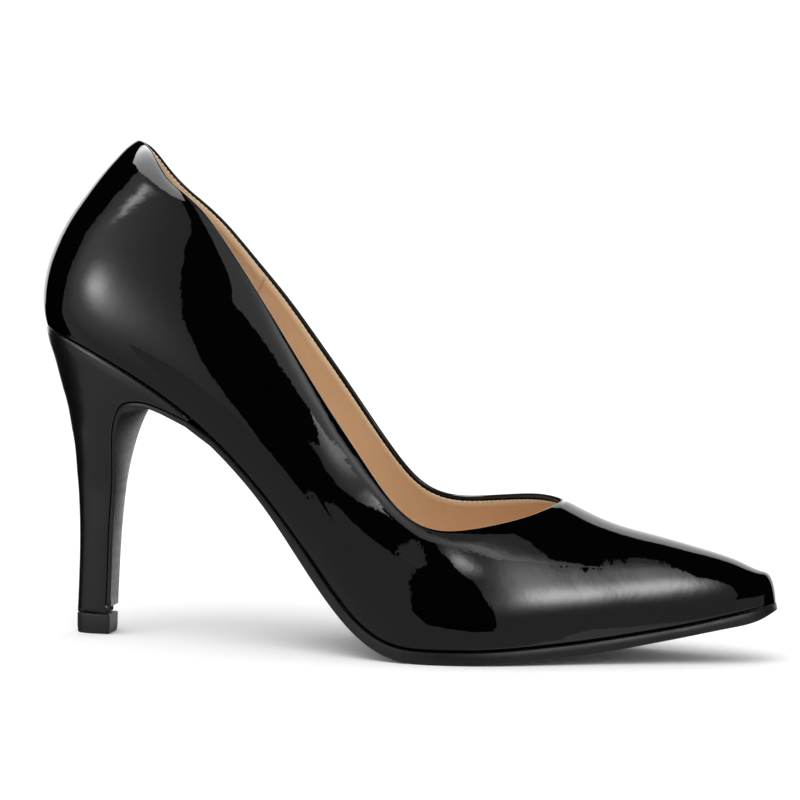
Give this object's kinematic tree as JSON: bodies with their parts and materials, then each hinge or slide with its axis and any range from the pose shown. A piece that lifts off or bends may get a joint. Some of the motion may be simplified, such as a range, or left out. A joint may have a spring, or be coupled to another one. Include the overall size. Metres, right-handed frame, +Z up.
{
  "type": "high-heeled court shoe",
  "caption": "Pointed court shoe with a slim high heel, low-cut throat, thin outsole carried down the front of the heel, and an insole board.",
  "frame": {"origin": "on the ground, under the middle of the shoe's bounding box", "axes": "+X from heel to toe, +Z up, -Y to the outer side of the foot"},
  "size_m": [0.2272, 0.0778, 0.152],
  "materials": {
    "patent": "black patent leather with a mirror gloss",
    "sole_edge": "black, satin, slightly rubbed on the edge",
    "heel_lacquer": "black satin lacquer",
    "top_piece": "black, matte",
    "lining": "smooth tan leather"
  },
  "bodies": {
    "root": {"upper": "patent", "outsole": "sole_edge", "heel": "heel_lacquer", "heel_tip": "top_piece", "insole": "lining"}
  },
  "joints": []
}
